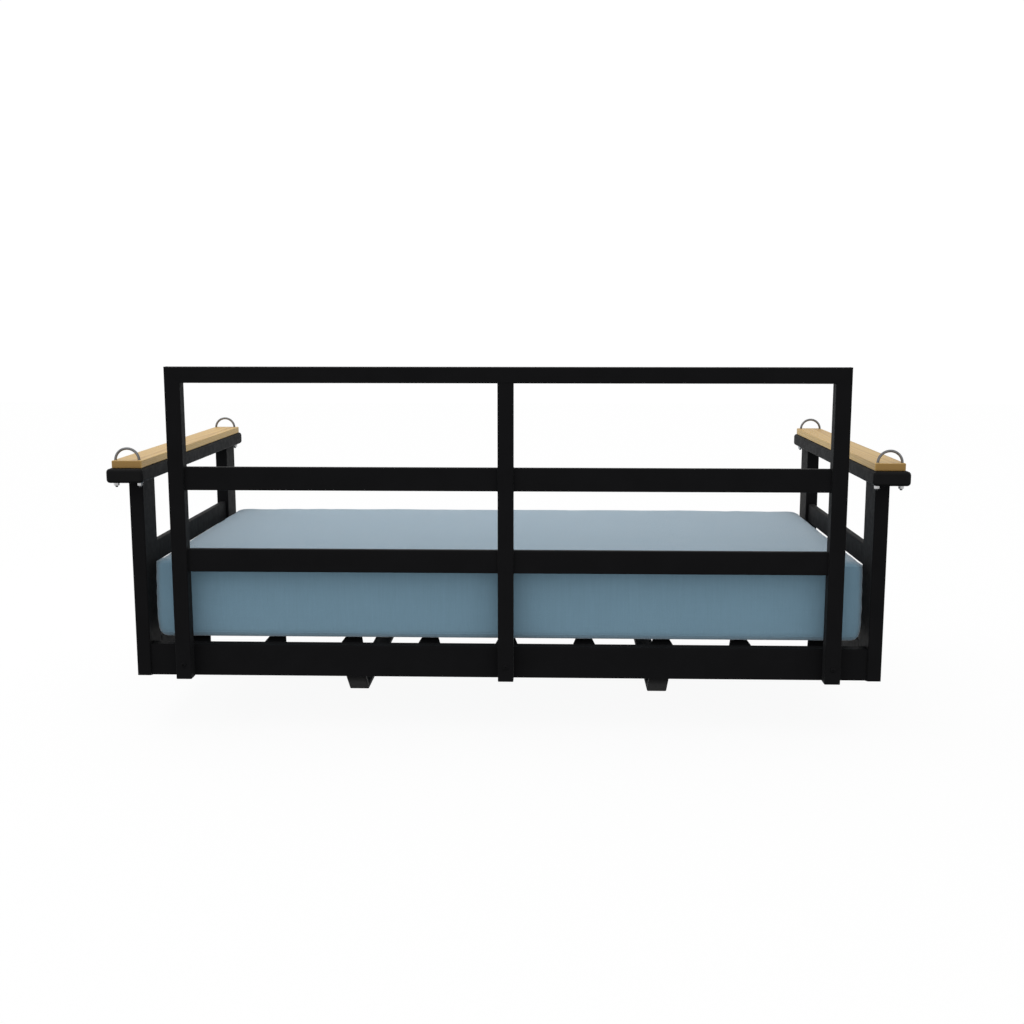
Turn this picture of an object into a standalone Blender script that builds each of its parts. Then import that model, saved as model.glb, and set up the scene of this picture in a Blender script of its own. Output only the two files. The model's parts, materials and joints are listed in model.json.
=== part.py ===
"""Porch swing: a daybed-size hanging seat with a welded steel frame, in metres, +Z up.

The seat's front faces -Y and the back frame stands at +Y. The origin is at the
bottom centre of the whole object, level with the lower bars' undersides.
"""
import math

import bmesh
import bpy
from mathutils import Matrix, Vector

# Fit
GAP = 0.0003  # clearance between faces that touch
WALL = 0.002  # wall of every steel tube
WELD = 0.001  # how deep one joined shape runs into another
HOLE_GAP = 0.0008  # clearance round a bolt or a U-bolt's leg
THROUGH = 0.2  # length of a cutter that goes right through

# Frame, outside sizes
FRAME_W = 2.0356  # across the outer faces of the posts
FRAME_D = 0.9816  # over the front and rear faces of the posts
POST_W, POST_D, POST_H = 0.038, 0.104, 0.5447
APRON_T, APRON_H = 0.038, 0.0874
APRON_RECESS = 0.0055  # apron face behind the post's face
MID_T, MID_H = 0.020, 0.060
MID_Z = 0.3259  # mid rails' centre above the frame's base
SLIM_H = 0.0625  # height of the back slats
LOWER_SLAT_Z, UPPER_SLAT_Z = 0.3285, 0.5506  # slat centres above the frame's base
TUBE_R = 0.003  # corner radius of the steel tubes
VENT_R, VENT_DEPTH = 0.004, 0.020  # vent hole in a tube whose ends are welded shut

# Arms
ARM_L, ARM_W, ARM_H = 1.072, 0.097, 0.038
ARM_R = 0.009
ARM_SHIFT = 0.0022  # arm's centre line outward of the posts'
ARM_OVERHANG = 0.0837  # past the rear posts
PLANK_W, PLANK_H = 0.080, 0.020
PLANK_SHIFT = 0.0025  # plank's centre line inward of the arm's
PLANK_INSET = 0.016  # plank end from the arm's end
PLANK_R, PLANK_EASE = 0.004, 0.002  # upright corners, and the eased long edges
CAP_T, PLUG_T, CAP_R = 0.012, 0.007, 0.008  # arm cap: flange, plug and rounding

# Hanging hardware
WIRE_R = 0.0036
LOOP_R = 0.0316  # centre line of the U-bolt's bend
LOOP_SINK = 0.0011  # bend's centre below the plank's top
LOOP_INSET = 0.034  # U-bolt from the arm's end
NUT_R, NUT_H = 0.0074, 0.0095  # flange nut: hexagon's corner radius, whole height
FLANGE_R, FLANGE_H = 0.0092, 0.0020
THREAD_END = 0.004  # thread standing out of the nut

# Back frame
BACK_W = 1.8008
BACK_H = 0.8477
STILE_W, STILE_T = 0.042, 0.0385
SLAT_T = 0.020
BOLT_R, BOLT_HEAD_R, BOLT_HEAD_H = 0.004, 0.0075, 0.004
BOLT_Z = 0.0405  # bolt height above the frame's base
BACK_NUT_SIZE = 1.05  # times the U-bolts' nuts

# Seat
SLAT_COUNT, SLAT_PITCH = 9, 0.2138
SLAT_W, SLAT_H, SLAT_R, SLAT_WALL = 0.032, 0.008, 0.0015, 0.0015
HOLDER_TIP_W, HOLDER_BASE_W, HOLDER_D = 0.037, 0.060, 0.050
SEAT_Z = 0.1002  # tops of the slats and of their brackets' tips above the frame's base
LEDGE_DROP = 0.013  # ledge below the apron's top
LEDGE_W, LEDGE_H, LEDGE_T = 0.040, 0.020, 0.003
BRACKET_GAP = 0.001  # bracket to the apron's face
LEDGE_END = 0.008  # ledge's end to the post

# Lower bars
BAR_W, BAR_T, BAR_X = 0.055, 0.0135, 0.423
BAR_DROP = 0.071  # underside below the frame's base
BAR_RUN = 0.0837  # how far an end slopes outwards as it rises to the frame's base
BAR_EASE = 0.003

# Cushion
CUSHION_W, CUSHION_D, CUSHION_H = 1.950, 0.946, 0.2190
CUSHION_R = 0.024
CUSHION_BACK = 0.019  # rear face in front of the rear posts' rear plane

# Places worked out from the sizes
BASE = BAR_DROP  # underside of the frame
FRAME_Y = ARM_L / 2 - ARM_OVERHANG - FRAME_D / 2
REAR = FRAME_Y + FRAME_D / 2  # rear plane of the rear posts
FRONT = FRAME_Y - FRAME_D / 2
POST_X = FRAME_W / 2 - POST_W / 2
ARM_X = POST_X + ARM_SHIFT
APRON_TOP = BASE + APRON_H
APRON_REAR_Y = REAR - APRON_RECESS - APRON_T / 2
APRON_FRONT_Y = FRONT + APRON_RECESS + APRON_T / 2
ARM_Z = BASE + POST_H + GAP  # underside of the arm rails
PLANK_Z = ARM_Z + ARM_H + GAP
PLANK_TOP = PLANK_Z + PLANK_H
BACK_Y = REAR - APRON_RECESS + GAP + STILE_T / 2
STILE_X = BACK_W / 2 - STILE_W / 2
LEDGE_Z = APRON_TOP - LEDGE_DROP  # top face of the ledges
SEAT_TOP = BASE + SEAT_Z

AXES = {
    "X": Matrix(((0, 0, 1), (1, 0, 0), (0, 1, 0))),
    "Y": Matrix(((-1, 0, 0), (0, 0, 1), (0, 1, 0))),
    "Z": Matrix.Identity(3),
}


def clear_scene():
    for obj in list(bpy.data.objects):
        bpy.data.objects.remove(obj, do_unlink=True)


def make_collection(name):
    collection = bpy.data.collections.new(name)
    bpy.context.scene.collection.children.link(collection)
    return collection


def make_material(name, colour, roughness, metallic):
    material = bpy.data.materials.new(name)
    material.use_nodes = True
    shader = material.node_tree.nodes["Principled BSDF"]
    shader.inputs["Base Color"].default_value = (*colour, 1)
    shader.inputs["Roughness"].default_value = roughness
    shader.inputs["Metallic"].default_value = metallic
    return material


def place(mesh_maker, name, axis, centre, material, parent):
    """New object whose local +Z runs along the given world axis."""
    mesh = bpy.data.meshes.new(name)
    bm = bmesh.new()
    mesh_maker(bm)
    bmesh.ops.recalc_face_normals(bm, faces=bm.faces)
    bm.to_mesh(mesh)
    bm.free()
    obj = bpy.data.objects.new(name, mesh)
    obj.rotation_euler = AXES[axis].to_euler()
    obj.location = centre
    obj.parent = parent
    if material:
        obj.data.materials.append(material)
        parts.objects.link(obj)
    else:
        obj.hide_render = True
        obj.display_type = "WIRE"
        cutters.objects.link(obj)
    return obj


def shade(obj, angle=35):
    obj.data.shade_smooth()
    obj.data.set_sharp_from_angle(angle=math.radians(angle))


def rounded_outline(width, height, low_r, high_r=None, steps=2):
    """Corner points of a rectangle with round corners; the low corners are at -Y."""
    high_r = low_r if high_r is None else high_r
    points = []
    for sx, sy, start in ((1, 1, 0), (-1, 1, 90), (-1, -1, 180), (1, -1, 270)):
        r = high_r if sy > 0 else low_r
        corner = Vector((sx * (width / 2 - r), sy * (height / 2 - r)))
        for i in range(steps + 1):
            turn = math.radians(start + 90 * i / steps)
            points.append(corner + r * Vector((math.cos(turn), math.sin(turn))))
    return points


def add_loop(bm, points, z):
    verts = [bm.verts.new((p[0], p[1], z)) for p in points]
    return [bm.edges.new((a, b)) for a, b in zip(verts, verts[1:] + verts[:1])]


def raise_loop(bm, edges, height):
    grown = bmesh.ops.extrude_edge_only(bm, edges=edges)["geom"]
    verts = [g for g in grown if isinstance(g, bmesh.types.BMVert)]
    bmesh.ops.translate(bm, verts=verts, vec=(0, 0, height))
    return [g for g in grown if isinstance(g, bmesh.types.BMEdge)]


def tube(name, axis, centre, length, outline, material, parent, wall=WALL):
    """Open-ended tube: an extruded outline thickened inwards."""

    def maker(bm):
        edges = add_loop(bm, outline, -length / 2)
        raise_loop(bm, edges, length)

    obj = place(maker, name, axis, centre, material, parent)
    skin = obj.modifiers.new("wall", "SOLIDIFY")
    skin.thickness = wall
    skin.offset = -1
    skin.use_even_offset = True
    shade(obj)
    return obj


def prism_maker(outline, length):
    def maker(bm):
        edges = add_loop(bm, outline, -length / 2)
        face = bmesh.ops.edgeloop_fill(bm, edges=edges)["faces"]
        grown = bmesh.ops.extrude_face_region(bm, geom=face)["geom"]
        verts = [g for g in grown if isinstance(g, bmesh.types.BMVert)]
        bmesh.ops.translate(bm, verts=verts, vec=(0, 0, length))

    return maker


def cylinders_maker(centres, radius, length, segments):
    """Upright cylinders, each centred on its point."""

    def maker(bm):
        for centre in centres:
            bmesh.ops.create_cone(
                bm, cap_ends=True, segments=segments, radius1=radius, radius2=radius,
                depth=length, matrix=Matrix.Translation(centre),
            )

    return maker


def boxes_maker(centres, size):
    def maker(bm):
        for centre in centres:
            matrix = Matrix.Translation(centre) @ Matrix.Diagonal((*size, 1))
            bmesh.ops.create_cube(bm, size=1, matrix=matrix)

    return maker


def cut(obj, cutter):
    boolean = obj.modifiers.new("cut", "BOOLEAN")
    boolean.operation = "DIFFERENCE"
    boolean.solver = "EXACT"
    boolean.object = cutter


def hole_cutter(name, centres, radius, length, axis="Z", segments=8):
    """Cutter of cylinders along the axis; the centres are in the cutter's own frame."""
    return place(cylinders_maker(centres, radius, length, segments), name, axis, (0, 0, 0), None, None)


def cap_maker(bm):
    """Rounded cap at local Z = 0 whose plug stands up into an arm rail above it."""
    turns = [math.radians(30 * i) for i in range(4)]
    rings = [(CAP_R * (1 - math.sin(a)), CAP_R * (1 - math.cos(a))) for a in turns]
    rings += [(0, CAP_T), (WALL + GAP, CAP_T), (WALL + GAP, CAP_T + PLUG_T)]
    loops = []
    for inset, z in rings:
        outline = rounded_outline(ARM_W - 2 * inset, ARM_H - 2 * inset, ARM_R - inset, steps=3)
        loops.append([bm.verts.new((*p, z)) for p in outline])
    for low, high in zip(loops, loops[1:]):
        for i, vert in enumerate(low):
            bm.faces.new((low[i - 1], vert, high[i], high[i - 1]))
    bm.faces.new(loops[0])
    bm.faces.new(loops[-1])


def ease_edges(obj, width):
    """Rounds the edges that turn through more than 60 degrees."""
    ease = obj.modifiers.new("ease", "BEVEL")
    ease.width = width
    ease.segments = 2
    ease.limit_method = "ANGLE"
    ease.angle_limit = math.radians(60)


def closed_tube(name, axis, centre, length, outline, material, parent, ease=0):
    """Tube with welded ends; holes cut later open its inside."""
    obj = place(prism_maker(outline, length), name, axis, centre, material, parent)
    if ease:
        ease_edges(obj, ease)
    skin = obj.modifiers.new("wall", "SOLIDIFY")
    skin.thickness = WALL
    skin.offset = -1
    skin.use_even_offset = True
    shade(obj)
    return obj


def union(obj, other):
    boolean = obj.modifiers.new("join", "BOOLEAN")
    boolean.operation = "UNION"
    boolean.solver = "EXACT"
    boolean.object = other


def copies(pattern, names_and_places, parent):
    """Bakes the pattern's modifiers and puts one object, sharing that mesh, at each place."""
    bpy.context.view_layer.update()
    evaluated = pattern.evaluated_get(bpy.context.evaluated_depsgraph_get())
    mesh = bpy.data.meshes.new_from_object(evaluated)
    mesh.name = pattern.name
    for name, location in names_and_places:
        obj = bpy.data.objects.new(name, mesh)
        obj.rotation_euler = pattern.rotation_euler
        obj.location = location
        obj.parent = parent
        parts.objects.link(obj)
    bpy.data.objects.remove(pattern, do_unlink=True)


def sides():
    return (("left", -1), ("right", 1))


def build_base(steel, bolt_holes, parent):
    """Aprons, side rails and posts."""
    apron = rounded_outline(APRON_T, APRON_H, TUBE_R)
    length = FRAME_W - 2 * POST_W - 2 * GAP
    z = BASE + APRON_H / 2
    rear = tube("rear_apron", "X", (0, APRON_REAR_Y, z), length, apron, steel, parent)
    tube("front_apron", "X", (0, APRON_FRONT_Y, z), length, apron, steel, parent)
    cut(rear, bolt_holes)
    rail_length = FRAME_D - 2 * POST_D - 2 * GAP
    post = rounded_outline(POST_W, POST_D, TUBE_R)
    drains = []
    for side, sx in sides():
        tube(f"{side}_side_rail", "Y", (sx * POST_X, FRAME_Y, z), rail_length,
             rounded_outline(POST_W, APRON_H, TUBE_R), steel, parent)
        tube(f"{side}_mid_rail", "Y", (sx * POST_X, FRAME_Y, BASE + MID_Z), rail_length,
             rounded_outline(MID_T, MID_H, TUBE_R), steel, parent)
        for end, y in (("rear", REAR - POST_D / 2), ("front", FRONT + POST_D / 2)):
            centre = (sx * POST_X, y, BASE + POST_H / 2)
            drains.append((closed_tube(f"{side}_{end}_post", "Z", centre, POST_H, post, steel, parent),
                           (sx * POST_X, y, BASE)))
    drain_cutter = hole_cutter("post_drains", [spot for _, spot in drains], VENT_R, VENT_DEPTH)
    for obj, _ in drains:
        cut(obj, drain_cutter)


def build_lower_bars(steel, parent):
    """Two flat bars that hang below the frame, and that it stands on when it is set down.

    Each bar's ends slope up to the inner faces of the aprons.
    """
    slant = math.hypot(BAR_RUN, BAR_DROP)
    end = FRAME_D / 2 - APRON_RECESS - APRON_T - GAP
    bend = end - BAR_RUN
    upper_bend = bend - BAR_T * (slant - BAR_RUN) / BAR_DROP
    end_top = BAR_DROP + BAR_T * slant / BAR_RUN
    # the outline's first axis is world Y and its second is world Z
    half = [(upper_bend, BAR_T), (end, end_top), (end, BAR_DROP), (bend, 0)]
    outline = half + [(-y, z) for y, z in reversed(half)]
    spots = [(sx * BAR_X, FRAME_Y, BAR_T) for _, sx in sides()]
    vents = hole_cutter("bar_vents", spots, VENT_R, VENT_DEPTH)
    for side, sx in sides():
        centre = (sx * BAR_X, FRAME_Y, 0)
        bar = closed_tube(f"{side}_lower_bar", "X", centre, BAR_W, outline, steel, parent, BAR_EASE)
        cut(bar, vents)


def u_bolt_spots():
    """Name, X and Y of the four U-bolts."""
    reach = ARM_L / 2 - LOOP_INSET
    return [
        (f"{side}_{end}_u_bolt", sx * ARM_X, sy * reach)
        for side, sx in sides()
        for end, sy in (("rear", 1), ("front", -1))
    ]


def build_arms(steel, wood, plastic, parent):
    outline = rounded_outline(ARM_W, ARM_H, ARM_R, steps=3)
    length = ARM_L - 2 * CAP_T - 2 * GAP
    legs = [(x + s * LOOP_R, y, ARM_Z) for _, x, y in u_bolt_spots() for s in (-1, 1)]
    leg_holes = hole_cutter("arm_leg_holes", legs, WIRE_R + HOLE_GAP, THROUGH)
    plank_outline = rounded_outline(PLANK_W, ARM_L - 2 * PLANK_INSET, PLANK_R)
    for side, sx in sides():
        centre = (sx * ARM_X, 0, ARM_Z + ARM_H / 2)
        arm = tube(f"{side}_arm_rail", "Y", centre, length, outline, steel, parent)
        plank = place(prism_maker(plank_outline, PLANK_H), f"{side}_armrest_plank", "Z",
                      (sx * (ARM_X - PLANK_SHIFT), 0, PLANK_Z + PLANK_H / 2), wood, parent)
        ease_edges(plank, PLANK_EASE)
        for obj in (arm, plank):
            cut(obj, leg_holes)
        shade(plank)
        for end, sy in (("rear", 1), ("front", -1)):
            centre = (sx * ARM_X, sy * ARM_L / 2, ARM_Z + ARM_H / 2)
            cap = place(cap_maker, f"{side}_{end}_arm_cap", "Y", centre, plastic, parent)
            if sy > 0:
                cap.rotation_euler = (AXES["Y"] @ Matrix.Rotation(math.pi, 3, "Y")).to_euler()
            shade(cap)


def build_u_bolts(dark_steel, zinc, parent):
    """Hanging loops over the planks, and a flange nut under each leg."""
    nut_z = ARM_Z - GAP - NUT_H / 2
    end_z = nut_z - NUT_H / 2 - THREAD_END
    bend_z = PLANK_TOP - LOOP_SINK
    points = [(-LOOP_R, 0, end_z), (-LOOP_R, 0, ARM_Z)]
    for i in range(13):
        turn = math.pi * (1 - i / 12)
        points.append((LOOP_R * math.cos(turn), 0, bend_z + LOOP_R * math.sin(turn)))
    points += [(LOOP_R, 0, ARM_Z), (LOOP_R, 0, end_z)]
    curve = bpy.data.curves.new("u_bolt", "CURVE")
    curve.dimensions = "3D"
    curve.bevel_depth = WIRE_R
    curve.bevel_resolution = 2
    curve.use_fill_caps = True
    spline = curve.splines.new("POLY")
    spline.points.add(len(points) - 1)
    for point, co in zip(spline.points, points):
        point.co = (*co, 1)
    curve.materials.append(dark_steel)
    nuts = []
    for name, x, y in u_bolt_spots():
        obj = bpy.data.objects.new(name, curve)
        obj.location = (x, y, 0)
        obj.parent = parent
        parts.objects.link(obj)
        nuts += [(f"{name}_nut_{i + 1}", (x + s * LOOP_R, y, nut_z)) for i, s in enumerate((-1, 1))]
    copies(flange_nut("u_bolt_nut", "Z", WIRE_R, 1.0, zinc), nuts, parent)


def flange_nut(name, axis, bore_r, size, material):
    """Hexagon nut with a round flange at its +Z end, bored for a rod of radius bore_r."""
    height, flange_h = NUT_H * size, FLANGE_H * size
    nut = place(cylinders_maker([(0, 0, 0)], NUT_R * size, height, 6), name, axis, (0, 0, 0), material, None)
    disc = cylinders_maker([(0, 0, (height - flange_h) / 2)], FLANGE_R * size, flange_h, 16)
    flange = place(disc, f"{name}_flange", axis, (0, 0, 0), None, None)
    bore = hole_cutter(f"{name}_bore", [(0, 0, 0)], bore_r + HOLE_GAP, THROUGH, axis)
    union(nut, flange)
    cut(nut, bore)
    shade(nut)
    return nut


def stile_spots():
    return (("left", -STILE_X), ("centre", 0.0), ("right", STILE_X))


def back_bolt_cutter():
    """Holes along Y through the bolted joints of the stiles and the rear apron."""
    centres = [(-x, BASE + BOLT_Z, BACK_Y) for _, x in stile_spots()]
    return hole_cutter("back_bolt_holes", centres, BOLT_R + HOLE_GAP, THROUGH, "Y")


def mitre_cutter(name, sx, side):
    """Block beyond the 45 degree plane at a top corner of the back frame."""
    corner = Vector((sx * STILE_X, BACK_Y, BASE + BACK_H - STILE_W / 2))
    normal = Vector((sx, 0, -1)).normalized() * side
    block = boxes_maker([(0, 0, 0)], (THROUGH,) * 3)
    cutter = place(block, name, "Z", corner + normal * (THROUGH - GAP) / 2, None, None)
    cutter.rotation_euler = (0, math.radians(45), 0)
    return cutter


def build_back(steel, bolt_holes, parent):
    """Back frame: three stiles under a top rail, with two rows of slats between them."""
    stile = rounded_outline(STILE_W, STILE_T, TUBE_R)
    rail = rounded_outline(STILE_T, STILE_W, TUBE_R)
    rail_z = BASE + BACK_H - STILE_W / 2
    top_rail = tube("back_top_rail", "X", (0, BACK_Y, rail_z), BACK_W, rail, steel, parent)
    for side, x in stile_spots():
        high = BASE + BACK_H - (STILE_W + GAP if side == "centre" else 0)
        centre = (x, BACK_Y, (BASE + high) / 2)
        obj = closed_tube(f"back_{side}_stile", "Z", centre, high - BASE, stile, steel, parent)
        cut(obj, bolt_holes)
        if side != "centre":
            sx = math.copysign(1, x)
            cut(obj, mitre_cutter(f"{side}_stile_mitre", sx, -1))
            cut(top_rail, mitre_cutter(f"{side}_rail_mitre", sx, 1))
    slat = rounded_outline(SLAT_T, SLIM_H, TUBE_R)
    inner = STILE_W / 2 + GAP
    outer = STILE_X - STILE_W / 2 - GAP
    for level, z in (("lower", LOWER_SLAT_Z), ("upper", UPPER_SLAT_Z)):
        for side, sx in sides():
            tube(f"{level}_{side}_back_slat", "X", (sx * (inner + outer) / 2, BACK_Y, BASE + z),
                 outer - inner, slat, steel, parent)


def build_back_bolts(dark_steel, zinc, parent):
    """One bolt through each stile and the rear apron, with a flange nut inside."""
    inner_y = APRON_REAR_Y - APRON_T / 2
    outer_y = BACK_Y + STILE_T / 2 + GAP + BOLT_HEAD_H
    nut_h = NUT_H * BACK_NUT_SIZE
    length = outer_y - (inner_y - nut_h - GAP - THREAD_END)
    # a bolt's local +Z runs along +Y, with the outer face of its head at local zero
    head = cylinders_maker([(0, 0, -BOLT_HEAD_H / 2)], BOLT_HEAD_R, BOLT_HEAD_H, 16)
    bolt = place(head, "back_bolt", "Y", (0, 0, 0), dark_steel, None)
    shank = cylinders_maker([(0, 0, -(length + WELD) / 2)], BOLT_R, length - WELD, 10)
    shank = place(shank, "back_bolt_shank", "Y", (0, 0, 0), None, None)
    union(bolt, shank)
    shade(bolt)
    z = BASE + BOLT_Z
    spots = [(f"back_{side}_bolt", (x, outer_y, z)) for side, x in stile_spots()]
    copies(bolt, spots, parent)
    nut_y = inner_y - GAP - nut_h / 2
    spots = [(f"back_{side}_bolt_nut", (x, nut_y, z)) for side, x in stile_spots()]
    copies(flange_nut("back_bolt_nut", "Y", BOLT_R, BACK_NUT_SIZE, zinc), spots, parent)


def slat_xs():
    return [(i - (SLAT_COUNT - 1) / 2) * SLAT_PITCH for i in range(SLAT_COUNT)]


def build_ledge(end, face_y, inward, steel, parent):
    """Angle on an apron's inner face, with a sloping bracket welded on for each slat."""
    wall = face_y + inward * GAP
    # the outline's first axis is world Y and its second is world Z
    outline = [
        (0, 0), (inward * LEDGE_W, 0), (inward * LEDGE_W, -LEDGE_T),
        (inward * LEDGE_T, -LEDGE_T), (inward * LEDGE_T, -LEDGE_H), (0, -LEDGE_H),
    ]
    length = FRAME_W - 2 * POST_W - 2 * LEDGE_END
    ledge = place(prism_maker(outline, length), f"{end}_slat_ledge", "X", (0, wall, LEDGE_Z), steel, parent)
    # each bracket end's Y, width and height
    root = (wall + inward * BRACKET_GAP, HOLDER_BASE_W, APRON_TOP)
    tip = (root[0] + inward * HOLDER_D, HOLDER_TIP_W, SEAT_TOP)

    def brackets(bm):
        """Each rises and narrows from the apron's top edge to the slat's end."""
        for x in slat_xs():
            block = bmesh.ops.create_cube(bm, size=2)
            for vert in block["verts"]:
                at_tip, on_top = vert.co.y * inward > 0, vert.co.z > 0
                y, width, top = tip if at_tip else root
                vert.co = (x + width / 2 * vert.co.x, y, top if on_top else LEDGE_Z - WELD)

    union(ledge, place(brackets, f"{end}_brackets", "Z", (0, 0, 0), None, None))
    return tip[0]


def build_seat(steel, parent):
    """Ledges on the aprons, and nine slats that run between the ledges' brackets."""
    inner = APRON_RECESS + APRON_T
    rear_tip = build_ledge("rear", REAR - inner, -1, steel, parent)
    front_tip = build_ledge("front", FRONT + inner, 1, steel, parent)
    length = rear_tip - front_tip - 2 * GAP
    outline = rounded_outline(SLAT_W, SLAT_H, SLAT_R, steps=1)
    for i, x in enumerate(slat_xs()):
        centre = (x, (rear_tip + front_tip) / 2, SEAT_TOP - SLAT_H / 2)
        tube(f"seat_slat_{i + 1}", "Y", centre, length, outline, steel, parent, SLAT_WALL)


def build_cushion(fabric, parent):
    """Loose cushion that lifts off the slats; its empty stands at its rest place."""
    rear_y = REAR - CUSHION_BACK
    lift = bpy.data.objects.new("cushion_lift", None)
    lift.location = (0, rear_y - CUSHION_D / 2, SEAT_TOP + GAP)
    lift.parent = parent
    parts.objects.link(lift)
    size = (CUSHION_W, CUSHION_D, CUSHION_H)
    cushion = place(boxes_maker([(0, 0, CUSHION_H / 2)], size), "seat_cushion", "Z", (0, 0, 0), fabric, lift)
    soften = cushion.modifiers.new("soften", "BEVEL")
    soften.width = CUSHION_R
    soften.segments = 3
    shade(cushion, 50)


def main():
    steel = make_material("black_powder_coat", (0.012, 0.012, 0.013), 0.45, 0.2)
    wood = make_material("armrest_wood", (0.62, 0.42, 0.20), 0.6, 0.0)
    plastic = make_material("black_plastic", (0.010, 0.010, 0.010), 0.6, 0.0)
    dark_steel = make_material("dark_steel", (0.12, 0.12, 0.125), 0.35, 0.9)
    zinc = make_material("zinc_plate", (0.55, 0.56, 0.57), 0.35, 0.95)
    fabric = make_material("blue_linen", (0.11, 0.22, 0.29), 0.9, 0.0)
    root = bpy.data.objects.new("porch_swing", None)
    parts.objects.link(root)
    bolt_holes = back_bolt_cutter()
    build_base(steel, bolt_holes, root)
    build_lower_bars(steel, root)
    build_arms(steel, wood, plastic, root)
    build_u_bolts(dark_steel, zinc, root)
    build_back(steel, bolt_holes, root)
    build_back_bolts(dark_steel, zinc, root)
    build_seat(steel, root)
    build_cushion(fabric, root)


clear_scene()
parts = make_collection("porch_swing")
cutters = make_collection("cutters")
main()
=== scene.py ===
"""Looks of the porch swing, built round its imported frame: metres, +Z up, the seat's front faces -Y."""
import json
import math

import bmesh
import bpy
import numpy as np
from mathutils import Matrix, Vector, noise
from mathutils.bvhtree import BVHTree


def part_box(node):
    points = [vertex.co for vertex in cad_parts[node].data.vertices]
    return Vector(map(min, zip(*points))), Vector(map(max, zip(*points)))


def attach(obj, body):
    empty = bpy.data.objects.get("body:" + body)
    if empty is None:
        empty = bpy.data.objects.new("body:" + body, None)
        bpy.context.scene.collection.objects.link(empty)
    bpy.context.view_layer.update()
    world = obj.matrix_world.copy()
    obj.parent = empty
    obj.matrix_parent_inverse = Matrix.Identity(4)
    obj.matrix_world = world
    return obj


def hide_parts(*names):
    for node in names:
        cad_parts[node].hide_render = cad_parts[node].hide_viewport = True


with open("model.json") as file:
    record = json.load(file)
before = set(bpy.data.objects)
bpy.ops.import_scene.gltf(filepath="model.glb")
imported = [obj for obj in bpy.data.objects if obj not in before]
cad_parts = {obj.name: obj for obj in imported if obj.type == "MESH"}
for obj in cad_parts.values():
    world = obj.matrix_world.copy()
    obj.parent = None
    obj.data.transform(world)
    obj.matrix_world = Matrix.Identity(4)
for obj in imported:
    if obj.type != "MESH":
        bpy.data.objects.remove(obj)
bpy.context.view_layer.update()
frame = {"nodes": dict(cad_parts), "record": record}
nodes = frame["nodes"]
scene = bpy.context.scene

SIDES = ("left", "right")
ENDS = ("rear", "front")
STILES = ("left", "centre", "right")
FLOOR_Z = -0.080  # the swing hangs this far above the floor
FLOOR_HALF, DOME_R = 13.0, 18.0


# ---------------------------------------------------------------- stage


def add_object(name, data):
    obj = bpy.data.objects.new(name, data)
    scene.collection.objects.link(obj)
    return obj


def make_camera():
    data = bpy.data.cameras.new("camera")
    data.lens = 43.69
    camera = add_object("camera", data)
    camera.location = (-0.117, 3.7415, 1.0456)
    camera.rotation_euler = Vector((0.0302, -0.9876, -0.1542)).to_track_quat("-Z", "Y").to_euler()
    scene.camera = camera


def make_world():
    """Studio surround: dim underfoot, a little brighter overhead, toward +X and beyond the front."""
    world = bpy.data.worlds.new("studio")
    world.use_nodes = True
    scene.world = world
    build = Builder(world.node_tree)
    way = build.add("ShaderNodeTexCoord").outputs["Generated"]
    parts = build.add("ShaderNodeSeparateXYZ", {0: way})
    along = build.spread(parts.outputs["Y"], -0.6, 0.9, 0.92, 0.86)
    up = build.spread(parts.outputs["Z"], -0.5, 0.8, 0.80, 1.00)
    underfoot = build.spread(parts.outputs["Z"], -0.85, -0.25, 0.04, 1.0)
    across = build.spread(parts.outputs["X"], -0.8, 0.8, 0.90, 1.06)
    build.tree.nodes["Background"].inputs["Color"].default_value = (1, 1, 1, 1)
    level = build.maths("MULTIPLY", along, across)
    height = build.maths("MULTIPLY", up, underfoot)
    strength = build.maths("MULTIPLY", level, height)
    build.tree.links.new(strength, build.tree.nodes["Background"].inputs["Strength"])


def make_light(name, location, target, size, power):
    data = bpy.data.lights.new(name, "AREA")
    data.shape = "DISK"
    data.size = size
    data.energy = power
    light = add_object(name, data)
    light.location = location
    light.rotation_euler = (Vector(target) - Vector(location)).to_track_quat("-Z", "Y").to_euler()


def camera_only(obj):
    """The object is a white backdrop for the camera and lights nothing."""
    for ray in ("diffuse", "glossy", "transmission", "volume_scatter", "shadow"):
        setattr(obj, f"visible_{ray}", False)


def glowing(name, grey, glow):
    """Matt white backdrop finish: a little grey to take a shadow, and the rest its own light."""
    material = bpy.data.materials.new(name)
    material.use_nodes = True
    shader = material.node_tree.nodes["Principled BSDF"]
    shader.inputs["Base Color"].default_value = (grey, grey, grey, 1)
    shader.inputs["Roughness"].default_value = 1.0
    shader.inputs["Specular IOR Level"].default_value = 0.0
    shader.inputs["Emission Color"].default_value = (1, 1, 1, 1)
    shader.inputs["Emission Strength"].default_value = glow
    return material


def make_backdrop():
    """White floor that takes a faint shadow, inside a white dome."""
    bm = bmesh.new()
    level = Matrix.Translation((0, 0, FLOOR_Z))
    bmesh.ops.create_grid(bm, x_segments=1, y_segments=1, size=FLOOR_HALF, matrix=level)
    camera_only(mesh_object("floor", bm, glowing("white_floor", 0.07, 0.935)))
    bm = bmesh.new()
    bmesh.ops.create_uvsphere(bm, u_segments=48, v_segments=24, radius=DOME_R)
    camera_only(mesh_object("dome", bm, glowing("white_dome", 0.0, 1.02)))


# ---------------------------------------------------------------- node wiring


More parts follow.
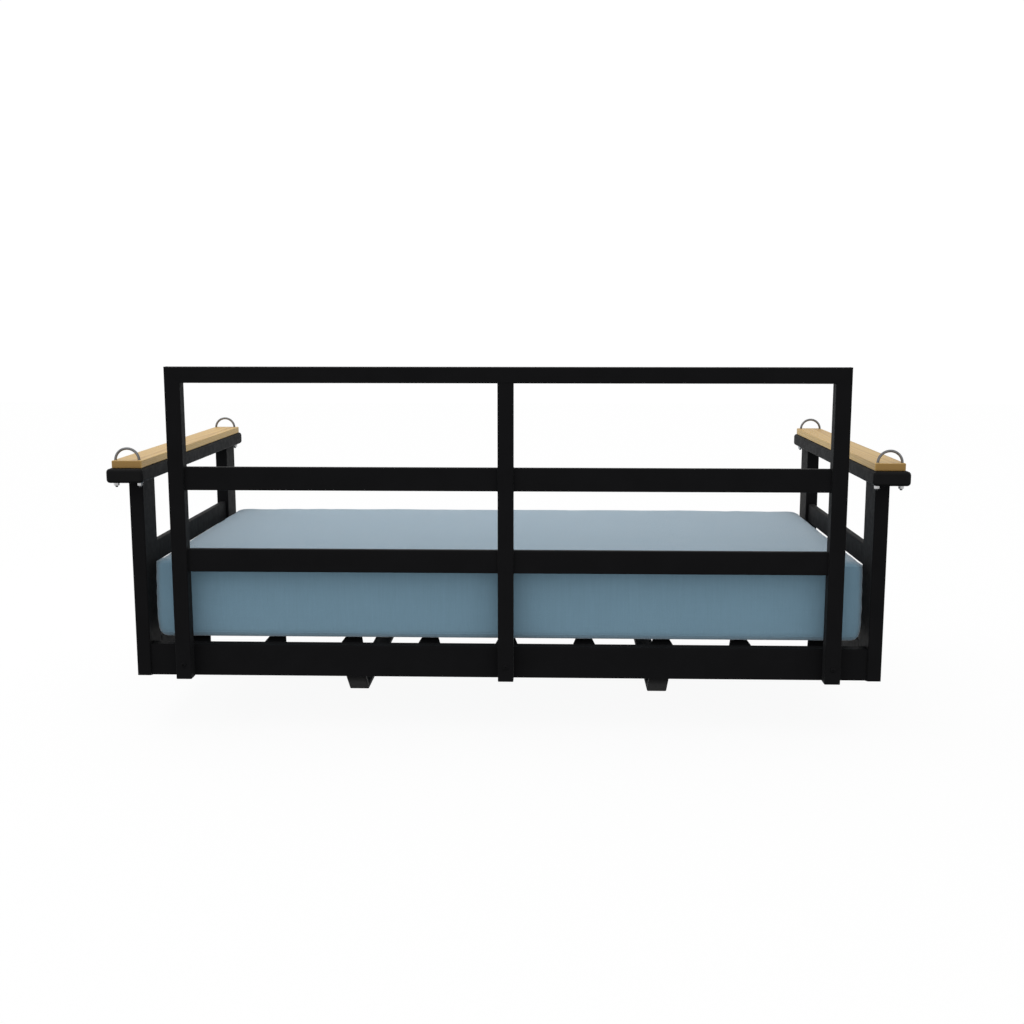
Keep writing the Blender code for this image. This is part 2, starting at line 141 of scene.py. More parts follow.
class Builder:
    """Adds and wires the nodes of one tree."""

    def __init__(self, tree):
        self.tree = tree

    def add(self, kind, sockets=None, **settings):
        node = self.tree.nodes.new(kind)
        for name, value in settings.items():
            setattr(node, name, value)
        for key, value in (sockets or {}).items():
            if isinstance(value, bpy.types.NodeSocket):
                self.tree.links.new(value, node.inputs[key])
            else:
                node.inputs[key].default_value = value
        return node

    def maths(self, operation, a, b=0.0):
        return self.add("ShaderNodeMath", {0: a, 1: b}, operation=operation).outputs[0]

    def spread(self, value, low, high, to_low, to_high):
        """Maps low..high to to_low..to_high with a smooth step, clamped."""
        sockets = {
            "Value": value, "From Min": low, "From Max": high, "To Min": to_low, "To Max": to_high,
        }
        return self.add("ShaderNodeMapRange", sockets, interpolation_type="SMOOTHSTEP").outputs[0]

    def stretch(self, vector, scale):
        return self.add("ShaderNodeVectorMath", {0: vector, 1: scale}, operation="MULTIPLY").outputs[0]

    def shift(self, vector, by):
        return self.add("ShaderNodeVectorMath", {0: vector, 1: by}, operation="ADD").outputs[0]

    def noise(self, vector, scale, detail=2.0, roughness=0.5):
        sockets = {"Vector": vector, "Scale": scale, "Detail": detail, "Roughness": roughness}
        return self.add("ShaderNodeTexNoise", sockets).outputs["Fac"]

    def mix(self, share, a, b):
        node = self.add("ShaderNodeMix", data_type="RGBA")
        for socket, value in ((node.inputs[0], share), (node.inputs[6], a), (node.inputs[7], b)):
            if isinstance(value, bpy.types.NodeSocket):
                self.tree.links.new(value, socket)
            elif socket.type == "RGBA":
                socket.default_value = (*value, 1)
            else:
                socket.default_value = value
        return node.outputs[2]

    def ramp(self, value, *stops):
        node = self.add("ShaderNodeValToRGB", {0: value})
        elements = node.color_ramp.elements
        while len(elements) < len(stops):
            elements.new(0.5)
        for element, (position, colour) in zip(elements, stops):
            element.position = position
            element.color = (*colour, 1)
        return node.outputs[0]

    def bump(self, height, distance, strength=1.0):
        sockets = {"Height": height, "Distance": distance, "Strength": strength}
        return self.add("ShaderNodeBump", sockets).outputs[0]


class Finish(Builder):
    """A Principled material; uniform values go straight on the shader's sockets."""

    def __init__(self, name, **uniform):
        self.material = bpy.data.materials.new(name)
        self.material.use_nodes = True
        super().__init__(self.material.node_tree)
        self.shader = self.tree.nodes["Principled BSDF"]
        for socket, value in uniform.items():
            self.shader.inputs[socket.replace("_", " ")].default_value = value
        place = self.add("ShaderNodeTexCoord")
        self.point = place.outputs["Object"]
        self.facing = place.outputs["Normal"]

    def drive(self, socket, value):
        self.tree.links.new(value, self.shader.inputs[socket])


def powder_coat():
    """Satin black powder coat: orange-peel bump, uneven gloss and a pale bloom at low angles."""
    f = Finish("black_powder_coat", Specular_IOR_Level=0.03, Sheen_Weight=0.05, Sheen_Roughness=0.30)
    patches = f.noise(f.point, 14.0, 3.0)
    colour = f.ramp(patches, (0.3, (0.0080, 0.0080, 0.0086)), (0.7, (0.0092, 0.0092, 0.0100)))
    f.drive("Base Color", colour)
    f.drive("Roughness", f.spread(f.noise(f.point, 55.0, 4.0), 0.3, 0.7, 0.50, 0.60))
    peel = f.noise(f.point, 520.0, 1.5)
    grit = f.noise(f.point, 2600.0, 1.0)
    f.drive("Normal", f.bump(f.maths("ADD", peel, f.maths("MULTIPLY", grit, 0.25)), 0.00025, 0.6))
    return f.material


def moulded_plastic():
    """Matt black moulded plastic with a fine spark-eroded grain."""
    f = Finish("black_plastic", Specular_IOR_Level=0.10)
    grain = f.noise(f.point, 1500.0, 3.0, 0.7)
    colour = f.ramp(grain, (0.3, (0.0052, 0.0052, 0.0056)), (0.7, (0.0078, 0.0078, 0.0082)))
    f.drive("Base Color", colour)
    f.drive("Roughness", f.spread(f.noise(f.point, 80.0, 2.0), 0.3, 0.7, 0.5, 0.6))
    f.drive("Normal", f.bump(grain, 0.00012, 0.7))
    return f.material


def drawn_steel():
    """Dark plain steel rod with draw marks and faint stains."""
    f = Finish("dark_steel", Metallic=1.0)
    marks = f.noise(f.stretch(f.point, (2600, 2600, 260)), 1.0, 2.0)
    stain = f.noise(f.point, 130.0, 4.0)
    shade = f.maths("ADD", f.maths("MULTIPLY", marks, 0.4), f.maths("MULTIPLY", stain, 0.6))
    f.drive("Base Color", f.ramp(shade, (0.35, (0.16, 0.16, 0.165)), (0.65, (0.27, 0.27, 0.275))))
    f.drive("Roughness", f.spread(stain, 0.3, 0.7, 0.26, 0.42))
    f.drive("Normal", f.bump(marks, 0.00005, 0.5))
    return f.material


def zinc_plate():
    """Bright zinc plating: small clouded patches with a faint warm tint."""
    f = Finish("zinc_plate", Metallic=1.0)
    cells = f.add("ShaderNodeTexVoronoi", {"Vector": f.point, "Scale": 900.0}).outputs["Distance"]
    cloud = f.noise(f.point, 260.0, 3.0)
    shade = f.maths("ADD", f.maths("MULTIPLY", cells, 0.3), f.maths("MULTIPLY", cloud, 0.7))
    f.drive("Base Color", f.ramp(shade, (0.3, (0.58, 0.58, 0.57)), (0.7, (0.74, 0.74, 0.76))))
    f.drive("Roughness", f.spread(cloud, 0.3, 0.7, 0.22, 0.36))
    f.drive("Normal", f.bump(cells, 0.00004, 0.5))
    return f.material


def oiled_wood(name, centre_x, seed):
    """Straight-grained softwood along Y: growth rings, fibres, pores and darker end grain."""
    f = Finish(name, Specular_IOR_Level=0.4, Coat_Weight=0.12, Coat_Roughness=0.35)
    moved = f.shift(f.point, (-centre_x, seed, 0))
    slow = {"Vector": f.stretch(moved, (6, 1.1, 6)), "Scale": 1.0, "Detail": 1.5}
    slow = f.add("ShaderNodeTexNoise", slow).outputs["Color"]
    wandered = f.shift(moved, f.stretch(slow, (0.020, 0, 0.020)))
    # the rings' centre, the tree's pith, runs along Y a little below the plank
    place = f.add("ShaderNodeSeparateXYZ", {0: wandered})
    wide = f.maths("ADD", place.outputs["X"], 0.012)
    deep = f.maths("ADD", place.outputs["Z"], -0.610)
    square = f.maths("ADD", f.maths("MULTIPLY", wide, wide), f.maths("MULTIPLY", deep, deep))
    rings_per_m = 210.0
    rings = f.maths("FRACT", f.maths("MULTIPLY", f.maths("SQRT", square), rings_per_m))
    late = f.ramp(rings, (0.0, (0.10,) * 3), (0.55, (0.25,) * 3), (0.86, (1.0,) * 3), (1.0, (0.10,) * 3))
    fibres = f.noise(f.stretch(moved, (900, 14, 900)), 1.0, 3.0, 0.6)
    pores = f.spread(f.noise(f.stretch(moved, (1500, 40, 1500)), 1.0, 1.0), 0.66, 0.74, 0.0, 1.0)
    broad = f.noise(f.stretch(moved, (22, 1.6, 22)), 1.0, 2.0)
    body = f.mix(broad, (0.71, 0.480, 0.160), (0.60, 0.375, 0.110))
    body = f.mix(f.maths("MULTIPLY", late, 0.70), body, (0.40, 0.215, 0.048))
    pale = f.maths("MULTIPLY", f.spread(fibres, 0.35, 0.7, 0.0, 1.0), 0.28)
    body = f.mix(pale, body, (0.68, 0.48, 0.215))
    body = f.mix(f.maths("MULTIPLY", pores, 0.45), body, (0.20, 0.100, 0.028))
    end = f.add("ShaderNodeSeparateXYZ", {0: f.facing}).outputs["Y"]
    end = f.spread(f.maths("ABSOLUTE", end), 0.6, 0.95, 0.0, 0.72)
    f.drive("Base Color", f.mix(end, body, (0.265, 0.135, 0.020)))
    f.drive("Roughness", f.spread(fibres, 0.3, 0.7, 0.42, 0.58))
    height = f.maths("SUBTRACT", f.maths("MULTIPLY", fibres, 0.5), f.maths("MULTIPLY", late, 0.35))
    f.drive("Normal", f.bump(height, 0.00018, 0.7))
    return f.material


def slub_linen():
    """Dusty blue cloth in plain weave, with slubs that run up the sides and across the top."""
    f = Finish("blue_linen", Specular_IOR_Level=0.5, Sheen_Weight=0.9, Sheen_Roughness=0.45)
    f.shader.inputs["Sheen Tint"].default_value = (0.95, 0.97, 1.0, 1)
    facing = f.add("ShaderNodeSeparateXYZ", {0: f.facing})
    flat = [f.maths("ABSOLUTE", facing.outputs[axis]) for axis in "XYZ"]
    on_top = f.spread(flat[2], 0.55, 0.85, 0.0, 1.0)
    place = f.add("ShaderNodeSeparateXYZ", {0: f.point})
    # plain weave: one band of threads across each axis, left out where the face looks along it
    pitch = 0.0011
    waves = []
    for axis in range(3):
        turn = f.maths("MULTIPLY", place.outputs[axis], 2 * math.pi / pitch)
        seen = f.spread(flat[axis], 0.55, 0.8, 1.0, 0.0)
        waves.append((f.maths("SINE", turn), seen))
    weave = None
    for (a, seen_a), (b, seen_b) in ((waves[0], waves[1]), (waves[0], waves[2]), (waves[1], waves[2])):
        both = f.maths("MULTIPLY", f.maths("MULTIPLY", a, b), f.maths("MULTIPLY", seen_a, seen_b))
        weave = both if weave is None else f.maths("ADD", weave, both)
    upright = f.noise(f.stretch(f.point, (260, 260, 9)), 1.0, 3.0, 0.62)
    across = f.noise(f.stretch(f.point, (260, 11, 40)), 1.0, 3.0, 0.62)
    level = f.noise(f.stretch(f.point, (10, 10, 420)), 1.0, 2.0)
    slub = f.mix(on_top, upright, across)
    fine = f.noise(f.point, 900.0, 2.0)
    cloud = f.noise(f.point, 5.0, 2.0)
    tone = f.maths("ADD", f.maths("MULTIPLY", slub, 0.60), f.maths("MULTIPLY", level, 0.16))
    tone = f.maths("ADD", tone, f.maths("MULTIPLY", fine, 0.14))
    tone = f.maths("ADD", tone, f.maths("MULTIPLY", cloud, 0.10))
    colour = f.ramp(
        tone,
        (0.32, (0.190, 0.340, 0.448)), (0.46, (0.206, 0.364, 0.480)),
        (0.56, (0.214, 0.376, 0.494)), (0.70, (0.232, 0.400, 0.520)),
    )
    f.drive("Base Color", colour)
    f.drive("Roughness", f.spread(slub, 0.3, 0.7, 0.78, 0.92))
    height = f.maths("ADD", f.maths("MULTIPLY", weave, 0.5), f.maths("MULTIPLY", slub, 1.6))
    f.drive("Normal", f.bump(height, 0.00035, 0.8))
    return f.material


# ---------------------------------------------------------------- mesh helpers


def mesh_object(name, bm, material):
    bmesh.ops.recalc_face_normals(bm, faces=bm.faces)
    mesh = bpy.data.meshes.new(name)
    bm.to_mesh(mesh)
    bm.free()
    mesh.materials.append(material)
    return add_object(name, mesh)


def baked(obj, name):
    """Mesh of the object as its modifiers leave it; the object is removed."""
    bpy.context.view_layer.update()
    mesh = bpy.data.meshes.new_from_object(obj.evaluated_get(bpy.context.evaluated_depsgraph_get()))
    mesh.name = name
    bpy.data.objects.remove(obj, do_unlink=True)
    return mesh


def curve_mesh(curve, name):
    """Closed mesh of a bevelled curve, its end caps welded on."""
    mesh = baked(add_object(name, curve), name)
    bm = bmesh.new()
    bm.from_mesh(mesh)
    bmesh.ops.remove_doubles(bm, verts=bm.verts, dist=0.00001)
    bmesh.ops.recalc_face_normals(bm, faces=bm.faces)
    bm.to_mesh(mesh)
    bm.free()
    shade_by_angle(mesh, 50)
    return mesh


def turned(name, profile, material, segments=32):
    """Closed solid turned round Z from (radius, height) points; the end radii may be zero."""
    bm = bmesh.new()
    rings = []
    for radius, height in profile:
        count = 1 if radius == 0 else segments
        turns = [2 * math.pi * i / segments for i in range(count)]
        rings.append([bm.verts.new((radius * math.cos(a), radius * math.sin(a), height)) for a in turns])
    for low, high in zip(rings, rings[1:]):
        for i in range(segments):
            j = (i + 1) % segments
            corners = [low[i % len(low)], low[j % len(low)], high[j % len(high)], high[i % len(high)]]
            bm.faces.new(list(dict.fromkeys(corners)))
    return mesh_object(name, bm, material)


def hexagon(name, radius, low, high, material):
    bm = bmesh.new()
    middle = Matrix.Translation((0, 0, (low + high) / 2))
    bmesh.ops.create_cone(
        bm, cap_ends=True, segments=6, radius1=radius, radius2=radius, depth=high - low, matrix=middle,
    )
    return mesh_object(name, bm, material)


def combine(obj, other, operation):
    """Booleans other into obj at once."""
    boolean = obj.modifiers.new("boolean", "BOOLEAN")
    boolean.operation = operation
    boolean.solver = "EXACT"
    boolean.object = other
    mesh = baked(obj, obj.name)
    bpy.data.objects.remove(other, do_unlink=True)
    return add_object(mesh.name, mesh)


def shade_by_angle(mesh, degrees):
    mesh.shade_smooth()
    mesh.set_sharp_from_angle(angle=math.radians(degrees))


def put(obj, slot, *replaced, body="root"):
    """The piece rides on a body and stands for the CAD nodes named; the slot argument is not used."""
    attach(obj, body)
    if replaced:
        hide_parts(*replaced)
    return obj


# ---------------------------------------------------------------- CAD nodes that stay


def dress_nodes(finish_of):
    """Gives every CAD node its finish, smooth corners and softened edges."""
    slots = {row["node"]: row["material_slot"] for row in frame["record"]["subparts"]}
    for name, obj in nodes.items():
        material = finish_of(name, slots[name])
        obj.data.materials.clear()
        obj.data.materials.append(material)
        if "custom_normal" in obj.data.attributes:
            obj.data.attributes.remove(obj.data.attributes["custom_normal"])
        obj.data.shade_smooth()
        weld = obj.modifiers.new("weld", "WELD")
        weld.merge_threshold = 0.00001
        flatten = obj.modifiers.new("flatten", "DECIMATE")
        flatten.decimate_type = "DISSOLVE"
        flatten.angle_limit = math.radians(0.5)
        soften = obj.modifiers.new("soften", "BEVEL")
        soften.width = 0.0004
        soften.segments = 2
        soften.limit_method = "ANGLE"
        soften.angle_limit = math.radians(55)
        even = obj.modifiers.new("even", "WEIGHTED_NORMAL")
        even.weight = 100


# ---------------------------------------------------------------- fasteners

CORNER_SHARE = 0.80  # a nut's corner radius as a share of its flange's


def make_u_bolts(material):
    """Bent rod with a cut thread on each leg's end, in place of each plain CAD U-bolt."""
    low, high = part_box("left_rear_u_bolt")
    wire = (high.y - low.y) / 2
    radius = (high.x - low.x) / 2 - wire
    bend_z = high.z - wire - radius
    thread_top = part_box("left_arm_rail")[0].z + 0.004
    pitch, root_share, tip_share = 0.001, 0.93, 0.82
    count = int((thread_top - low.z) / pitch * 2)
    leg = [(low.z + pitch * i / 2, wire * (root_share if i % 2 else 1.0)) for i in range(count)]
    leg[0] = (low.z, wire * tip_share)
    path = [(-radius, z, r) for z, r in leg] + [(-radius, thread_top + pitch, wire)]
    steps = 48
    for i in range(steps + 1):
        turn = math.pi * (1 - i / steps)
        path.append((radius * math.cos(turn), bend_z + radius * math.sin(turn), wire))
    path += [(radius, thread_top + pitch, wire)] + [(radius, z, r) for z, r in reversed(leg)]
    curve = bpy.data.curves.new("u_bolt_rod", "CURVE")
    curve.dimensions = "3D"
    curve.bevel_depth = wire
    curve.bevel_resolution = 4
    curve.use_fill_caps = True
    spline = curve.splines.new("POLY")
    spline.points.add(len(path) - 1)
    spline.use_smooth = True
    for point, (x, z, r) in zip(spline.points, path):
        point.co = (x, 0, z, 1)
        point.radius = r / wire
    curve.materials.append(material)
    mesh = curve_mesh(curve, "u_bolt_rod")
    for side in SIDES:
        for end in ENDS:
            node = f"{side}_{end}_u_bolt"
            low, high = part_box(node)
            rod = add_object(f"{side}_{end}_hanging_loop", mesh)
            rod.location = ((low.x + high.x) / 2, (low.y + high.y) / 2, 0)
            put(rod, "dark_steel", node)


def nut_mesh(name, height, flange_h, corner, flange, bore, material):
    """Chamfered hexagon nut, its flange at +Z, standing round the origin."""
    half = height / 2
    chamfer = corner * 0.10
    nut = hexagon(name, corner, -half, half - flange_h * 0.3, material)
    profile = [
        (0, -half), (corner - chamfer * 2, -half), (corner, -half + chamfer), (corner, half), (0, half),
    ]
    nut = combine(nut, turned("barrel", profile, material, 48), "INTERSECT")
    lip, under = flange_h * 0.3, half - flange_h
    profile = [(0, under), (corner * 0.98, under), (flange, half - lip), (flange, half), (0, half)]
    nut = combine(nut, turned("disc", profile, material, 48), "UNION")
    profile = [
        (0, -height), (bore * 1.25, -height), (bore * 1.2, -half), (bore, -half + bore * 0.2),
        (bore, height), (0, height),
    ]
    nut = combine(nut, turned("hole", profile, material, 24), "DIFFERENCE")
    mesh = baked(nut, name)
    shade_by_angle(mesh, 28)
    return mesh


def make_nuts(material):
    low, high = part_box("left_rear_u_bolt_nut_1")
    flange = (high.x - low.x) / 2
    height = high.z - low.z
    corner = flange * CORNER_SHARE
    small = nut_mesh("small_nut", height, 0.0020, corner, flange, bore=0.0038, material=material)
    for side in SIDES:
        for end in ENDS:
            for leg in (1, 2):
                node = f"{side}_{end}_u_bolt_nut_{leg}"
                low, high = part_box(node)
                nut = add_object(f"{side}_{end}_loop_nut_{leg}", small)
                nut.location = (low + high) / 2
                nut.rotation_euler.z = math.radians(7 + 23 * leg)
                put(nut, "zinc_plate", node)
    low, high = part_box("back_left_bolt_nut")
    height = high.y - low.y
    flange = (high.x - low.x) / 2
    corner = flange * CORNER_SHARE
    large = nut_mesh("large_nut", height, 0.0021, corner, flange, bore=0.0044, material=material)
    for place in STILES:
        low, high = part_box(f"back_{place}_bolt_nut")
        nut = add_object(f"back_{place}_nut", large)
        nut.location = (low + high) / 2
        nut.rotation_euler.x = math.radians(-90)
        put(nut, "zinc_plate", f"back_{place}_bolt_nut")


def make_back_bolts(material):
    """Button-head bolts with a hexagon socket, in place of the plain CAD ones."""
    low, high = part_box("back_left_bolt")
    head_r = (high.x - low.x) / 2
    length = high.y - low.y
    head_h, shank_r, rim = 0.004, 0.004, 0.0008
    socket_r, socket_floor, socket_over = 0.0029, -0.0026, 0.001
    profile = [
        (0, -length), (shank_r * 0.8, -length), (shank_r, -length + rim), (shank_r, -head_h),
        (head_r, -head_h),
    ]
    steps = 6
    for i in range(steps + 1):
        turn = math.radians(90 * i / steps)
        radius = head_r * math.cos(turn) if i < steps else 0
        profile.append((radius, -head_h + rim + (head_h - rim) * math.sin(turn)))
    bolt = turned("button_bolt", profile, material)
    socket = hexagon("socket", socket_r, socket_floor, socket_over, material)
    mesh = baked(combine(bolt, socket, "DIFFERENCE"), "button_bolt")
    shade_by_angle(mesh, 35)
    for place in STILES:
        low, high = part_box(f"back_{place}_bolt")
        bolt = add_object(f"back_{place}_button_bolt", mesh)
        bolt.location = ((low.x + high.x) / 2, high.y, (low.z + high.z) / 2)
        bolt.rotation_euler.x = math.radians(-90)
        put(bolt, "dark_steel", f"back_{place}_bolt")


# ---------------------------------------------------------------- weld beads


class Beads:
    """One curve that collects every weld bead as its own rippled spline."""

    def __init__(self, material):
        self.curve = bpy.data.curves.new("weld_beads", "CURVE")
        self.curve.dimensions = "3D"
        self.curve.bevel_depth = 0.0015
        self.curve.bevel_resolution = 1
        self.curve.use_fill_caps = True
        self.curve.materials.append(material)

    def along(self, points, closed, size=1.0):
        """Bead through the points, resampled to a scale-like ripple."""
        points = [Vector(p) for p in points]
        if closed:
            points.append(points[0])
        gap = 0.0022
        fine, left = [points[0]], gap
        for a, b in zip(points, points[1:]):
            run = (b - a).length
            while left <= run:
                fine.append(a + (b - a) * (left / run))
                left += gap
            left -= run
        if closed and (fine[-1] - fine[0]).length < gap / 2:
            fine.pop()
        spline = self.curve.splines.new("POLY")
        spline.points.add(len(fine) - 1)
        spline.use_cyclic_u = closed
        spline.use_smooth = True
        for i, (point, co) in enumerate(zip(spline.points, fine)):
            point.co = (*co, 1)
            point.radius = size * ((1.0, 0.86, 0.78)[i % 3] + 0.06 * noise.noise(co * 90))

    def around(self, centre, across, up, width, height, size=1.0, corner=0.003):
        """Closed bead round a rounded rectangle spanned by two directions."""
        loop = []
        for sx, sy, start in ((1, 1, 0), (-1, 1, 90), (-1, -1, 180), (1, -1, 270)):
            for i in range(4):
                turn = math.radians(start + 30 * i)
                x = sx * (width / 2 - corner) + corner * math.cos(turn)
                y = sy * (height / 2 - corner) + corner * math.sin(turn)
                loop.append(centre + across * x + up * y)
        self.along(loop, True, size)

    def at_end(self, node, axis, side, size=1.0, grow=0.0):
        """Bead round the end of a straight tube, read from its node's box."""
        low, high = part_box(node)
        centre = (low + high) / 2
        centre[axis] = (low, high)[side][axis]
        first, second = [i for i in range(3) if i != axis]
        across, up = Vector((0, 0, 0)), Vector((0, 0, 0))
        across[first] = up[second] = 1.0
        size_a = high[first] - low[first] + grow
        size_b = high[second] - low[second] + grow
        self.around(centre, across, up, size_a, size_b, size)


def make_weld_beads(material):
    beads = Beads(material)
    flush = -0.0022  # a bead on flush faces is ground down to a low ridge
    for end in ENDS:
        for side in (0, 1):
            beads.at_end(f"{end}_apron", 0, side)
    for name in SIDES:
        for side in (0, 1):
            beads.at_end(f"{name}_side_rail", 1, side, grow=flush)
            beads.at_end(f"{name}_mid_rail", 1, side)
            for level in ("lower", "upper"):
                beads.at_end(f"{level}_{name}_back_slat", 0, side)
        for end in ENDS:
            beads.at_end(f"{name}_{end}_post", 2, 1)
    beads.at_end("back_centre_stile", 2, 1, grow=flush)
    rail_low, rail_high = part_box("back_top_rail")
    for sx, name in ((-1, "back_left_stile"), (1, "back_right_stile")):
        low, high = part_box(name)
        centre = Vector(((low.x + high.x) / 2, (low.y + high.y) / 2, (rail_low.z + rail_high.z) / 2))
        slope = Vector((sx, 0, 1)).normalized()
        width = (high.x - low.x) * math.sqrt(2) + flush
        beads.around(centre, slope, Vector((0, 1, 0)), width, high.y - low.y + flush)
    clear = 0.004  # from a bead's end to the bar's edge
    for name in SIDES:
        low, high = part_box(f"{name}_lower_bar")
        for inner in (low.y, high.y):
            ends = [(low.x + clear, inner, high.z), (high.x - clear, inner, high.z)]
            beads.along(ends, False, 1.2)
    bead_l, step, margin = 0.030, 0.18, 0.05  # stitches under the ledges
    for end in ENDS:
        low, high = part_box(f"{end}_slat_ledge")
        wall = high.y if end == "rear" else low.y
        x = low.x + margin
        while x < high.x - margin:
            beads.along([(x, wall, low.z), (x + bead_l, wall, low.z)], False, 1.1)
            x += step
    put(add_object("weld_beads", curve_mesh(beads.curve, "weld_beads")), "black_powder_coat")


# ---------------------------------------------------------------- cushion

PLAN_R = 0.026  # corner radius seen from above
TOP_R = 0.011  # rounding of the top edges
LOW_R = 0.023  # rounding of the bottom edges
TUCK = 0.004  # how far the ends and sides draw in toward the bottom
INSET = 0.002  # the start shape is smaller all round, and swells to size
CROWN = 0.009  # rise of the top between its edges
DROP = 0.002  # start shape's top under the full height
CAP = 0.008  # how far a point may move in the simulation
CORNER_REACH = 0.07  # how far from an upright corner the cloth puckers
PUCKER, WAVE, RIPPLE = 0.0011, 0.0014, 0.0006  # heights of the cloth's unevenness
UPPER_SEAM, LOWER_SEAM = 0.024, 0.016  # seams below the top and above the bottom
SEAM_R = 0.0011
VOXEL = 0.010  # size of the start mesh's squares


def plan_outline(half_x, half_y, radius, steps):
    points = []
    for sx, sy, start in ((1, 1, 0), (-1, 1, 90), (-1, -1, 180), (1, -1, 270)):
        for i in range(steps + 1):
            turn = math.radians(start + 90 * i / steps)
            points.append((
                sx * (half_x - radius) + radius * math.cos(turn),
                sy * (half_y - radius) + radius * math.sin(turn),
            ))
    return points


def start_shape(low, high):
    """Box with round upright corners and round top and bottom edges, a little under full size."""
    centre = (low + high) / 2
    half_x = (high.x - low.x) / 2 - INSET
    half_y = (high.y - low.y) / 2 - INSET
    top = high.z - DROP
    bm = bmesh.new()
    rings = []
    angles = [math.radians(15 * i) for i in range(7)]
    profile = [(LOW_R * (1 - math.sin(a)), low.z + LOW_R * (1 - math.cos(a))) for a in angles]
    profile += [(TOP_R * (1 - math.sin(a)), top - TOP_R * (1 - math.cos(a))) for a in reversed(angles)]
    for inset, z in profile:
        outline = plan_outline(half_x - inset, half_y - inset, PLAN_R - inset, 8)
        rings.append([bm.verts.new((centre.x + x, centre.y + y, z)) for x, y in outline])
    for lower, upper in zip(rings, rings[1:]):
        for i in range(len(lower)):
            bm.faces.new((lower[i - 1], lower[i], upper[i], upper[i - 1]))
    bm.faces.new(rings[0])
    bm.faces.new(rings[-1])
    return bm


def inflate(start, low):
    """Blows the start mesh up as cloth and returns its points, each moved no further than the cap."""
    trial = add_object("cloth_trial", start)
    group = trial.vertex_groups.new(name="resting")
    rest = np.array([v.co for v in start.vertices])
    sole = 0.004  # height of the part that stays flat on the slats
    resting = np.nonzero(rest[:, 2] < low.z + sole)[0]
    group.add([int(i) for i in resting], 1.0, "REPLACE")
    cloth = trial.modifiers.new("cloth", "CLOTH")
    settings = cloth.settings
    settings.quality = 5
    settings.mass = 0.3
    settings.tension_stiffness = settings.compression_stiffness = 15
    settings.bending_stiffness = 2
    settings.use_pressure = True
    settings.uniform_pressure_force = 4
    settings.effector_weights.gravity = 0
    settings.vertex_group_mass = "resting"
    cloth.collision_settings.use_collision = False
    last = 20
    cloth.point_cache.frame_start, cloth.point_cache.frame_end = 1, last
    for step in range(1, last + 1):
        scene.frame_set(step)
    settled = baked(trial, "settled")
    move = np.array([v.co for v in settled.vertices]) - rest
    bpy.data.meshes.remove(settled)
    scene.frame_set(1)
    length = np.linalg.norm(move, axis=1, keepdims=True)
    return rest + move * (CAP / (length + CAP))


def crease(points, low, high):
    """Crowns the top, draws the bottom in, and ruffles the cloth near corners and over panels."""
    centre, half = (low + high) / 2, (high - low) / 2
    across = np.clip(1 - np.abs(points[:, 0] - centre.x) / half.x, 0, 1)
    along = np.clip(1 - np.abs(points[:, 1] - centre.y) / half.y, 0, 1)
    rise = np.clip((points[:, 2] - low.z) / (high.z - low.z), 0, 1)
    dome = (1 - (1 - across) ** 6) * (1 - (1 - along) ** 8)
    points[:, 2] += CROWN * dome * rise ** 4
    tuck = TUCK * np.clip(1 - rise / 0.4, 0, 1) ** 2
    points[:, 0] -= tuck * (points[:, 0] - centre.x) / half.x
    points[:, 1] -= tuck * (points[:, 1] - centre.y) / half.y
    for i, p in enumerate(points):
        spot = Vector(p)
        soft = noise.noise(spot * 9) * WAVE + noise.noise(spot * 27 + Vector((7, 3, 1))) * RIPPLE
        out = Vector((spot.x - centre.x, spot.y - centre.y, 0))
        from_corner = (half.x - abs(out.x)) + (half.y - abs(out.y))
        corner = math.exp(-from_corner / CORNER_REACH)
        pucker = math.sin(spot.z * 150 + noise.noise(spot * 12) * 4) * PUCKER * corner
        if abs(out.x) > half.x - CORNER_REACH:
            face = Vector((1 if out.x > 0 else -1, 0, 0))
        else:
            face = Vector((0, 1 if out.y > 0 else -1, 0))
        lift = min(1.0, max(0.0, (spot.z - low.z - 0.01) / 0.03))
        points[i] += np.array(face) * (soft + pucker) * lift
        points[i][2] += soft * 0.7 * lift * (1.0 if spot.z > high.z - 0.03 else 0.0)
    return points


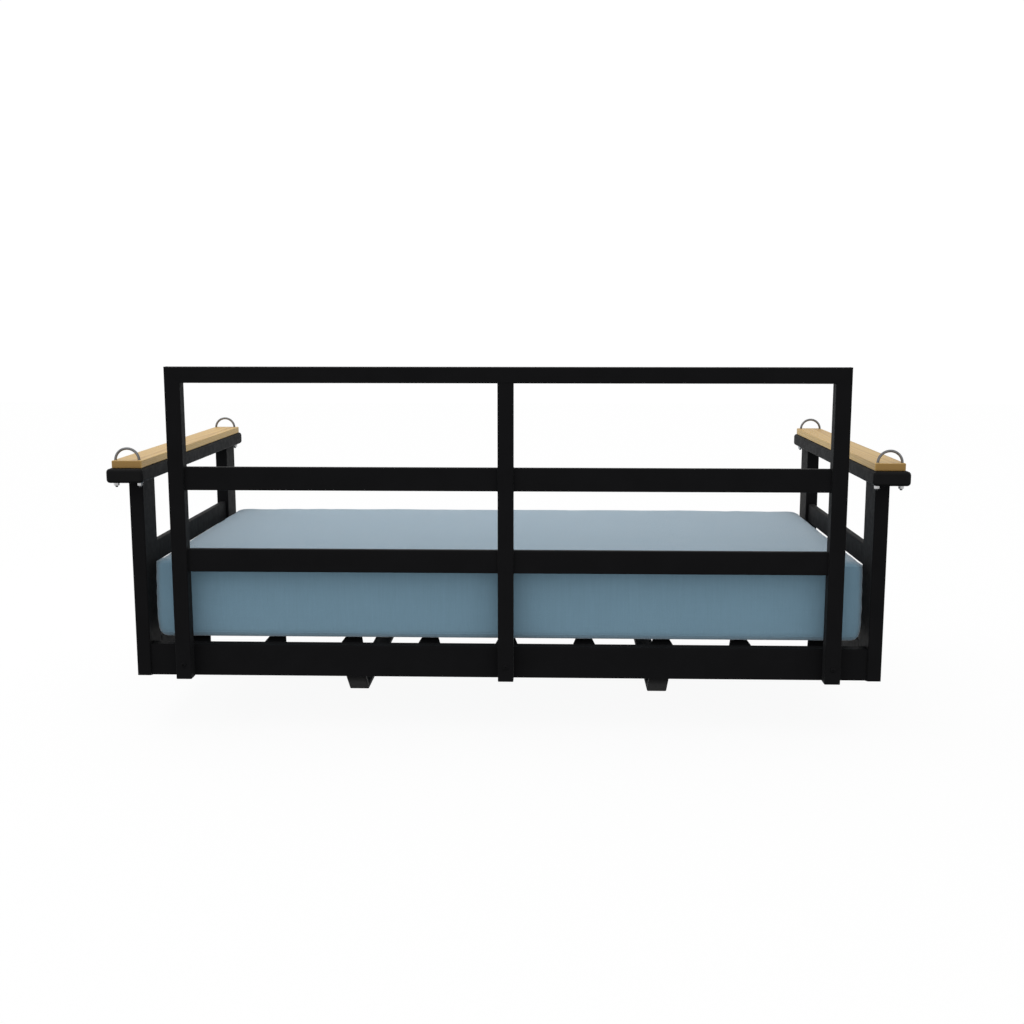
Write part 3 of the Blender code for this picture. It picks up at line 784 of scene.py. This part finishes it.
def seam_loop(name, tree, low, high, level, material):
    """Fine sewn ridge that follows the cushion's side all round at one height."""
    centre = (low + high) / 2
    out = 0.02  # the search for the cover's surface starts this far outside it
    outline = plan_outline((high.x - low.x) / 2 + out, (high.y - low.y) / 2 + out, PLAN_R + out, 14)
    corners = [Vector((centre.x + x, centre.y + y, level)) for x, y in outline]
    points = []
    for a, b in zip(corners, corners[1:] + corners[:1]):
        pieces = max(1, round((b - a).length / 0.008))
        points += [a + (b - a) * (i / pieces) for i in range(pieces)]
    found = []
    for point in points:
        inner = Vector((
            min(max(point.x, low.x + PLAN_R), high.x - PLAN_R),
            min(max(point.y, low.y + PLAN_R), high.y - PLAN_R),
            level,
        ))
        way = (inner - point).normalized()
        hit = tree.ray_cast(point, way)[0]
        if hit is not None:
            found.append(hit + way * 0.0004)
    curve = bpy.data.curves.new(name, "CURVE")
    curve.dimensions = "3D"
    curve.bevel_depth = SEAM_R
    curve.bevel_resolution = 1
    curve.materials.append(material)
    spline = curve.splines.new("POLY")
    spline.points.add(len(found) - 1)
    spline.use_cyclic_u = True
    spline.use_smooth = True
    for i, (point, co) in enumerate(zip(spline.points, found)):
        point.co = (*co, 1)
        point.radius = 1.0 if i % 2 else 0.82
    return put(add_object(name, curve_mesh(curve, name)), "blue_linen", body="cushion")


def make_cushion(material):
    low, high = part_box("seat_cushion")
    trial = mesh_object("start", start_shape(low, high), material)
    remesh = trial.modifiers.new("remesh", "REMESH")
    remesh.mode = "VOXEL"
    remesh.voxel_size = VOXEL
    mesh = baked(trial, "cushion_cover")
    points = inflate(mesh.copy(), low)
    points = crease(points, low, high)
    points[:, 2] = np.maximum(points[:, 2], low.z)
    mesh.vertices.foreach_set("co", points.astype(np.float32).ravel())
    mesh.shade_smooth()
    mesh.materials.clear()
    mesh.materials.append(material)
    cushion = add_object("cushion_cover", mesh)
    smooth = cushion.modifiers.new("smooth", "SUBSURF")
    smooth.levels = smooth.render_levels = 1
    put(cushion, "blue_linen", "seat_cushion", body="cushion")
    tree = BVHTree.FromPolygons([v.co for v in mesh.vertices], [p.vertices for p in mesh.polygons])
    top = points[:, 2].max()
    for name, level in (("upper_seam", top - UPPER_SEAM), ("lower_seam", low.z + LOWER_SEAM)):
        seam_loop(name, tree, low, high, level, material)


# ---------------------------------------------------------------- assembly

make_camera()
make_world()
make_light("key", location=(1.6, -0.3, 2.9), target=(0.1, 0, 0.3), size=2.2, power=16)
make_backdrop()

coat = powder_coat()
plastic = moulded_plastic()
steel = drawn_steel()
zinc = zinc_plate()
linen = slub_linen()
wood = {
    "left_armrest_plank": oiled_wood("left_plank_wood", -0.9985, 0.31),
    "right_armrest_plank": oiled_wood("right_plank_wood", 0.9985, 2.74),
}
by_slot = {
    "black_powder_coat": coat, "black_plastic": plastic, "dark_steel": steel, "zinc_plate": zinc,
    "blue_linen": linen,
}
dress_nodes(lambda node, slot: wood.get(node) or by_slot[slot])
make_u_bolts(steel)
make_nuts(zinc)
make_back_bolts(coat)
make_weld_beads(coat)
make_cushion(linen)

scene.view_settings.view_transform = "Standard"
